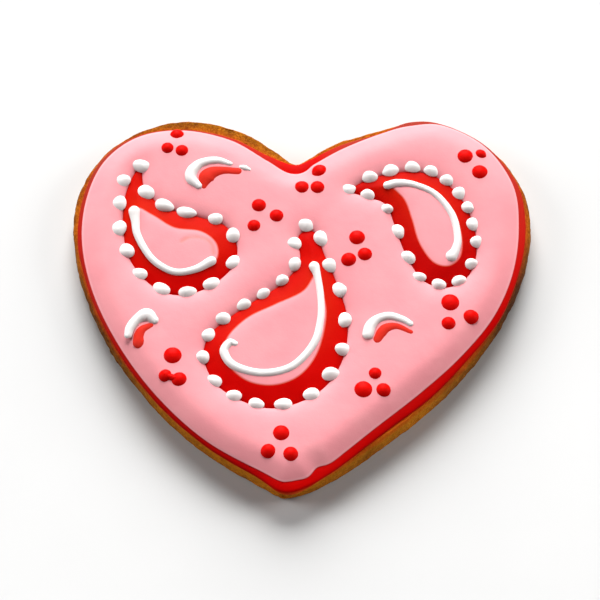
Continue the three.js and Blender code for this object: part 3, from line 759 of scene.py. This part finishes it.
def puddle(outline, holes, height, foot, spacing=FILL_SPACING, folds=()):
    """A closed body between a flat foot and height(plan), inside the outline and outside the holes. Along
    each fold the triangles have an edge, so that the height may step there."""
    loops = [outline] + [hole[::-1] for hole in holes]
    lines = loops + list(folds)
    rows_in = [offset(outline, -d)[:: 1 + (d > 0.5)] for d in EDGE_ROWS]
    rows_in += [offset(hole, d)[:: 1 + (d > 0.5)] for hole in holes for d in EDGE_ROWS]
    low, high = outline.min(0), outline.max(0)
    across, up = np.arange(low[0], high[0], spacing), np.arange(low[1], high[1], spacing * 0.866)
    x, y = np.meshgrid(across, up)
    x = x + spacing / 2 * (np.arange(len(up)) % 2)[:, None]
    middle = np.column_stack([x.ravel(), y.ravel()])
    middle = middle[inside(middle, outline)]
    for hole in holes:
        middle = middle[~inside(middle, hole)]
    clear = np.min([distance_to(middle, loop) for loop in loops], axis=0) > EDGE_ROWS[-1] + 0.6 * spacing
    middle = middle[clear]
    extra = np.vstack([*rows_in, middle])
    clear = np.min([distance_to(extra, loop) for loop in lines], axis=0) > 0.7 * EDGE_ROWS[0]
    extra = extra[clear]
    extra = extra[np.unique(np.round(extra, 2), axis=0, return_index=True)[1]]
    plan = np.vstack([*lines, extra])
    edge = plan[: sum(len(loop) for loop in loops)]
    top = np.column_stack([plan, height(plan)])
    bottom = np.column_stack([edge, np.full(len(edge), foot)])
    faces = fill(loops, extra, folds).tolist()
    faces += (fill(loops, np.zeros((0, 2)))[:, ::-1] + len(plan)).tolist()
    base = 0
    for loop in loops:
        here = base + np.arange(len(loop))
        after = np.roll(here, -1)
        faces += np.column_stack([here + len(plan), after + len(plan), after, here]).tolist()
        base += len(loop)
    return np.vstack([top, bottom]), faces


def long_slope(distance, slope, reach, fade):
    """Height gained from an edge inwards: a steady slope that fades out at its reach. It is the slope times
    the distance, less the fade times the logarithm of one plus e to the distance beyond the reach."""
    beyond = np.log1p(np.exp((distance - reach) / fade)) - math.log1p(math.exp(-reach / fade))
    return slope * (distance - fade * beyond)


# %% [markdown]
# The pink flood is the thickest layer. From the heart's edge it stands up in a short lip and then climbs
# steadily for three millimetres before it levels out, and it dips again towards each opening. Slow swells
# keep it from looking machined.

# %% The pink flood
# its lip, its long slope, its swells and its dips at the openings: heights and lengths of each
FLOOD_LIP, LIP_LENGTH, CLEAR_OF_COAT = 0.04, 0.06, 0.03
FLOOD_SLOPE, FLOOD_REACH, FLOOD_FADE = 0.5, 3.3, 0.8
FLOOD_SWELLS, SWELL_FROM_EDGE = [(0.04, 11.0, 31), (0.015, 5.0, 32)], 3.0
LONG_DIP, LONG_DIP_LENGTH, SHORT_DIP, SHORT_DIP_LENGTH = 1.0, 2.0, 0.25, 0.3


def flood_height(plan):
    """Height of the flood: the coat under it, a short lip and a long slope from the heart's edge, less a
    dip towards each opening that halves every 1.4 mm, plus slow swells."""
    d = distance_to(plan, flood_edge)
    z = between(distance_to(plan, coat_edge), LIP[2:]) + CLEAR_OF_COAT
    z = z + FLOOD_LIP * (1 - np.exp(-d / LIP_LENGTH)) + long_slope(d, FLOOD_SLOPE, FLOOD_REACH, FLOOD_FADE)
    rise = climb(d, 0, SWELL_FROM_EDGE)
    for opening in openings.values():
        d = distance_to(plan, opening)
        z = z - LONG_DIP * np.exp(-d / LONG_DIP_LENGTH) - SHORT_DIP * np.exp(-d / SHORT_DIP_LENGTH)
    return z + swells(plan, FLOOD_SWELLS) * rise


flood_points, flood_faces = puddle(flood_edge, list(openings.values()), flood_height, FLOOD_FOOT)
# a paler band just inside the edge, a painted highlight on the lip; and red drawn in from the coat along the
# very edge, partly real bleed, partly painted shade
from_edge = pink_finish.number("from_edge")
pink_finish.tint(pink_finish.ramp(from_edge, 0.25, 0.6, 0.3, 0.0), srgb(252, 190, 194))
pink_finish.tint(pink_finish.ramp(from_edge, 0.02, 0.16, 0.95, 0.0), srgb(196, 34, 44))
make_piece(
    "pink_flood_icing", flood_points, flood_faces, pink_finish, "pink_icing", ["pink_flood"],
    {"from_edge": distance_to(flood_points[:, :2], flood_edge)},
)

# %% [markdown]
# Each figure is a red pool in its opening and a pink drop let into it while both were wet, so the two are
# flush and their colours bleed into each other along the seam. The pool is hollowed under the drop, and
# the drop follows the pool's own surface with a slight crown. A number on the mesh, the distance from the
# seam, lets the finish turn the drop's thin edge orange.

# %% The red pools
POOL_GAP, POOL_LIP, POOL_LIP_LENGTH = 0.03, 0.15, 0.25
POOL_SLOPE, POOL_REACH, POOL_FADE = 0.2, 3.8, 0.7
SEAM_LAP, STEP_WIDTH, POOL_SPACING = 0.10, 0.04, 0.4
POOL_SWELLS, THIN_AND_LIT_LENGTH = [(0.02, 3.0, 41)], 2.2

pool_edges = {name: offset(opening, -POOL_GAP) for name, opening in openings.items()}
hollows = {name: offset(drop, -SEAM_LAP) for name, drop in drops.items()}


def pool_height(name, plan):
    """Height of a pool before it is hollowed: its edge, a round lip, and a slope up to its drop."""
    d = distance_to(plan, pool_edges[name])
    lip = POOL_LIP * (1 - np.exp(-d / POOL_LIP_LENGTH))
    return POOL_EDGE + lip + long_slope(d, POOL_SLOPE, POOL_REACH, POOL_FADE) + swells(plan, POOL_SWELLS)


# how much brighter each pool is at its far end, towards the light behind, partly thinner icing and partly
# painted light, and how much deeper all of it is
THIN_AND_LIT = {"left": 0.25, "centre": 0.0, "right": 0.0}
THICK = {"left": 0.15, "centre": 0.1, "right": 0.5}
pool_finish = icing("red_pool_icing", srgb(199, 6, 3), srgb(190, 4, 2), 0.42, specular=0.015)
pool_finish.tint(pool_finish.number("thick"), srgb(150, 3, 4))
# painted light with thinner icing: the far end of each pool turns orange-red
pool_finish.tint(pool_finish.number("thin"), srgb(196, 28, 7))
for name, edge in pool_edges.items():

    def hollowed(plan, name=name):
        """The pool's height, sunk to just under the drop's floor inside the hollow's outline."""
        deep = inside(plan, hollows[name]) & (distance_to(plan, hollows[name]) > STEP_WIDTH / 2)
        return np.where(deep, DROP_FLOOR - CLEARANCE, pool_height(name, plan))

    folds = [hollows[name], offset(hollows[name], -STEP_WIDTH)]
    points, faces = puddle(edge, [], hollowed, COAT_TOP, POOL_SPACING, folds)
    seam, middle = distance_to(points[:, :2], drops[name]), drops[name][:, 1].mean()
    # stronger towards the far end and the drop's seam, as painted light and thinner icing
    north = climb(points[:, 1], middle - 8, middle + 8)
    thin = np.clip((np.exp(-seam / THIN_AND_LIT_LENGTH) + THIN_AND_LIT[name]) * north, 0, 1)
    make_piece(
        f"red_pool_{name}", points, faces, pool_finish, "red_icing", [f"paisley_{name}"],
        {"thin": thin, "thick": np.full(len(points), THICK[name])},
    )

# %% The pink drops
CROWN, CROWN_LENGTH, DROP_LIFT, GROOVE, GROOVE_WIDTH = 0.13, 0.8, 0.01, 0.07, 0.35
SWIRL = smooth([[-23.7, 11.4], [-22.2, 12.3], [-19.6, 12.2], [-17.9, 11.0], [-17.3, 8.8]], 6, closed=False)
drop_finish = icing("pink_drop_icing", srgb(236, 151, 157), srgb(233, 145, 152), 0.46)
# orange along the seam, and a faint streak along the swirl
drop_finish.tint(drop_finish.ramp(drop_finish.number("seam"), 0.0, 0.45, 1.0, 0.0), srgb(208, 62, 40))
drop_finish.tint(drop_finish.share_of("swirl", 0.4), srgb(226, 112, 84))


def near_swirl(plan, width):
    """A soft ridge's share along the swirl: 1 on its line, fading with the distance from it."""
    gap = np.sqrt(((plan[:, None] - SWIRL[None]) ** 2).sum(2).min(1))
    return bump(gap, 0, width)


for name, edge in drops.items():

    def drop_height(plan, name=name):
        """The pool's own height with a slight crown over it, and the swirl's groove in the left drop."""
        d = distance_to(plan, drops[name])
        groove = GROOVE * near_swirl(plan, GROOVE_WIDTH) if name == "left" else 0.0
        return pool_height(name, plan) + DROP_LIFT + CROWN * (1 - np.exp(-d / CROWN_LENGTH)) - groove

    points, faces = puddle(edge, [], drop_height, DROP_FLOOR, POOL_SPACING)
    make_piece(
        f"pink_drop_{name}", points, faces, drop_finish, "pink_icing", [f"drop_{name}"],
        {"seam": distance_to(points[:, :2], edge), "swirl": near_swirl(points[:, :2], 0.4)},
    )

# %% [markdown]
# Piped icing comes out of a round tip, so a line is a round bar that has settled a little, with a knob
# where it started. It is a ring carried along a path: each ring stands across the path, and at both ends
# the rings shrink to close it.

# %% Piped lines
BAR_SIDES, BAR_STEPS = 20, 10
# the angle at which a line's side, and a bead's, meets the icing under it
CONTACT, BEAD_CONTACT = math.radians(66), math.radians(54)
# how far each kind of line is moved from its path and widened, and its height over its half width
STROKE_SHIFT, STROKE_RISE = (0, 0.2, 0.02), 0.68
CRESCENT_SHIFT, CRESCENT_RISE, SPECK_RISE = (0, 0.25, -0.02), 0.58, 0.7
RED_SUNK, RED_RISE, RED_FOOT = 0.12, 0.32, 0.4


def cap(across, contact=CONTACT):
    """Height of a settled drop of height 1 at a share of its radius: a circle's arc that meets the icing
    under it at the contact angle."""
    return (np.sqrt(1 - (across * math.sin(contact)) ** 2) - math.cos(contact)) / (1 - math.cos(contact))


def bar(path, axis, rise=0.75, foot=0.6):
    """Rings along a smooth path of x, y, radius: the width is the radius times cosine, the height is a
    settled drop's arc above the axis and a pressed circle's below. Ends close as a quarter circle."""
    line = smooth(path, BAR_STEPS, closed=False)
    step = np.gradient(line[:, :2], axis=0)
    along = step / np.linalg.norm(step, axis=1, keepdims=True)
    turn = np.linspace(0, math.pi / 2, 7)[:-1]
    ahead, share = -np.cos(turn), np.maximum(np.sin(turn), 0.06)
    start, end = line[0], line[-1]
    head = np.column_stack([start[:2] + along[0] * (ahead * start[2])[:, None], start[2] * share])
    tail = np.column_stack([end[:2] - along[-1] * (ahead * end[2])[:, None], end[2] * share])[::-1]
    centre = np.vstack([head, line[1:-1], tail])
    way = np.vstack([np.repeat(along[:1], len(head), 0), along[1:-1], np.repeat(along[-1:], len(tail), 0)])
    angle = np.arange(BAR_SIDES) * 2 * math.pi / BAR_SIDES
    aside = centre[:, 2:3] * np.cos(angle)
    lift = centre[:, 2:3] * np.where(np.sin(angle) > 0, rise * cap(np.cos(angle)), foot * np.sin(angle))
    z = (axis(centre[:, :2]) if callable(axis) else np.full(len(centre), axis))[:, None] + lift
    x = centre[:, :1] - way[:, 1:2] * aside
    y = centre[:, 1:2] + way[:, :1] * aside
    return np.stack([x, y, z], axis=-1)


strokes = [bar(np.add(path, STROKE_SHIFT), STROKE_AXIS, STROKE_RISE) for path in STROKES.values()]
make_piece("white_strokes", *skins(strokes), white_finish, "white_icing")

crescents = [bar(np.add(path, CRESCENT_SHIFT), CRESCENT_AXIS, CRESCENT_RISE) for path in WHITE_CRESCENTS]
crescents.append(bar(SPECK, SPECK_AXIS, SPECK_RISE))
make_piece("white_crescents", *skins(crescents), white_finish, "white_icing")

reds = [bar(path, lambda p: flood_height(p) - RED_SUNK, RED_RISE, RED_FOOT) for path in RED_CRESCENTS]
make_piece("red_crescents", *skins(reds), orange_finish, "red_icing")

# %% [markdown]
# A bead is a touch of the tip: a round drop that settles to a low dome with a soft peak where the icing let
# go. The rows run round each opening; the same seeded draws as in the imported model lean, stretch and turn
# each bead, so every one is a little different.

# %% The white beads
DOME_SIDES, DOME_RINGS, WAIST, DOME_TUCK = 24, 10, 0.3, 0.08
# a bead's radius and stretch, each with what a draw may add, and the spans of its turn, lean and height
RADIUS, STRETCH = (1.28, 0.16), (1.02, 0.22)
TURN_SPAN, LEAN_SPAN, TOP_SPAN, BEAD_PEAK = 0.8, 0.5, 0.3, 0.1
# how uneven a bead's outline is, how far its row is moved, and how much it spread each way
OVAL, THREE_SIDED, TAIL_WIDTH = 0.05, 0.035, 0.4
BEAD_SHIFT, BEAD_SPREAD = (0, 0.4), (1.12, 0.97)
# the way that the tip was pulled off in each row, as an angle
TAILS = {"left": 1.2, "centre": 2.0, "right": 2.8}


def draws(seed):
    """Random numbers from 0 to 1 by the rule: state times 1664525 plus 1013904223, kept to 32 bits."""
    state = seed
    while True:
        state = (state * 1664525 + 1013904223) % 4294967296
        yield state / 4294967296


def dome(centre, radius, foot, top, stretch=1.0, turn=0.0, lean=(0.0, 0.0), peak=0.0, lumps=1.0):
    """Rings of a settled drop: its arc above its widest ring and a slight tuck below. A peak narrows it by
    the square of the height, and lumps scale the radius round the drop."""
    angle = np.arange(DOME_SIDES) * 2 * math.pi / DOME_SIDES
    waist = foot + WAIST * (top - foot)
    below = np.linspace(-math.pi / 2, 0, 5)[1:-1]
    above = np.linspace(0, math.pi / 2, DOME_RINGS)[:-1]
    sweep = np.concatenate([below, above])
    wide = np.where(sweep < 0, 1 - DOME_TUCK * np.sin(sweep) ** 2, np.cos(sweep))
    climbed = np.where(sweep < 0, np.sin(sweep) * (waist - foot), cap(wide, BEAD_CONTACT) * (top - waist))
    high = waist + climbed
    share = climb(high, waist, top)
    wide = wide * (1 - peak * share**2)
    x = radius * stretch * np.outer(wide, np.cos(angle) * lumps)
    y = radius * np.outer(wide, np.sin(angle) * lumps)
    c, s = math.cos(turn), math.sin(turn)
    px = centre[0] + c * x - s * y + lean[0] * share[:, None]
    py = centre[1] + s * x + c * y + lean[1] * share[:, None]
    return np.stack([px, py, np.repeat(high[:, None], DOME_SIDES, 1)], axis=-1)


def bead_row(name, random, shape):
    """Beads along an opening: the gaps, in proportion, add up to its whole length."""
    start, gaps, out, sizes = BEAD_ROWS[name]
    outline = smooth(OPENINGS[name], 3)
    normals, along = outward(outline), lengths_along(outline)
    places = (start + np.concatenate([[0], np.cumsum(gaps)[:-1]]) * along[-1] / sum(gaps)) % along[-1]
    around = np.arange(DOME_SIDES) * 2 * math.pi / DOME_SIDES
    beads = []
    for i, here in enumerate(places):
        k = np.searchsorted(along, here, side="right") - 1
        after = (k + 1) % len(outline)
        part = (here - along[k]) / (along[k + 1] - along[k])
        normal = normals[k] * (1 - part) + normals[after] * part
        centre = outline[k] * (1 - part) + outline[after] * part + normal * out[i] + BEAD_SHIFT
        radius = (RADIUS[0] + RADIUS[1] * next(random)) * ring_value(sizes, i / len(gaps))
        stretch = STRETCH[0] + STRETCH[1] * next(random)
        turn = math.atan2(normal[0], -normal[1]) + TURN_SPAN * (next(random) - 0.5)
        lean = [LEAN_SPAN * (next(random) - 0.5), LEAN_SPAN * (next(random) - 0.5)]
        top = BEAD_TOP + TOP_SPAN * (next(random) - 0.5)
        lumps = 1 + OVAL * np.cos(2 * around + 6 * next(shape))
        lumps += THREE_SIDED * np.cos(3 * around + 6 * next(shape))
        tail = 0.45 * max(0.0, next(shape) - 0.55)
        from_tail = (around - TAILS[name] - turn + 0.8 * next(shape) + math.pi) % (2 * math.pi)
        lumps += tail * bump(from_tail, math.pi, TAIL_WIDTH)
        bead = dome(centre, radius, BEAD_FOOT, top, stretch, turn, lean, BEAD_PEAK, lumps)
        bead[..., :2] = centre + (bead[..., :2] - centre) * BEAD_SPREAD
        beads.append(bead)
    return beads


random, shape = draws(7), draws(19)
beads = [bead for name in OPENINGS for bead in bead_row(name, random, shape)]
make_piece("white_beads", *skins(beads), white_finish, "white_icing")

# %% The red dots
DOT_SPREAD, DOT_HEIGHT, DOT_SHIFT, DOT_PEAK = 1.13, 0.6, (0, 0.1), 0.05
# the last two dots ran together
NECK = [[-26.2, -17.7, 0.75], [-24.9, -18.15, 0.7], [-23.6, -18.6, 0.75]]
NECK_SUNK = 0.05

dots = []
for dot, z in zip(DOTS, flood_height(DOTS[:, :2])):
    dots.append(dome(dot[:2] + DOT_SHIFT, dot[2] * DOT_SPREAD, z - DOT_HEIGHT, z + DOT_HEIGHT, peak=DOT_PEAK))
dots.append(bar(NECK, lambda p: flood_height(p) - NECK_SUNK))
make_piece("red_dots", *skins(dots), dot_finish, "red_icing")

# %% [markdown]
# A pale sheet under one large soft light from behind and above gives the light ground, the soft shadow
# towards the viewer, and slopes that darken as they turn to the front. A smaller light on each side and a
# dim sky keep those slopes from going grey.

# %% The floor and the lights
HALF_FLOOR = 1.5


def soft_box(name, place, width, height, watts, colour):
    """A rectangular light at a place in metres, turned to face the heart's middle."""
    light = bpy.data.lights.new(name, "AREA")
    light.shape = "RECTANGLE"
    light.size, light.size_y, light.energy, light.color = width, height, watts, colour
    lamp = bpy.data.objects.new(name, light)
    lamp.location = place
    lamp.rotation_euler = (-Vector(place)).to_track_quat("-Z", "Y").to_euler()
    scene.collection.objects.link(lamp)


sheet = bpy.data.meshes.new("floor")
corners = [(-1, -1, 0), (1, -1, 0), (1, 1, 0), (-1, 1, 0)]
sheet.from_pydata(np.multiply(corners, HALF_FLOOR).tolist(), [], [(0, 1, 2, 3)])
floor = bpy.data.objects.new("floor", sheet)
scene.collection.objects.link(floor)
paper = Finish("pale_paper", 0.9, specular=0.1)
fibres = paper.ramp(paper.grain(40.0, detail=2.0), 0.3, 0.7)
paper.colour(paper.blend(fibres, srgb(218, 218, 218), srgb(220, 220, 220)))
sheet.materials.append(paper.material)
# name, place, width and height in metres, watts, colour
soft_box("back_light", (-0.09, 2.54, 1.59), 2.2, 2.6, 205.0, (1.0, 0.995, 0.985))
soft_box("left_light", (-2.66, 0.47, 1.31), 1.4, 1.4, 43.0, (0.98, 0.99, 1.0))
soft_box("right_light", (2.66, 0.47, 1.31), 1.4, 1.4, 42.0, (1.0, 0.99, 0.98))
world = bpy.data.worlds.new("sky")
world.use_nodes = True
sky = world.node_tree.nodes["Background"].inputs
sky["Color"].default_value = (0.86, 0.93, 1.0, 1)
sky["Strength"].default_value = 0.03
scene.world = world
scene.view_settings.view_transform = "Standard"
scene.view_settings.look = "None"
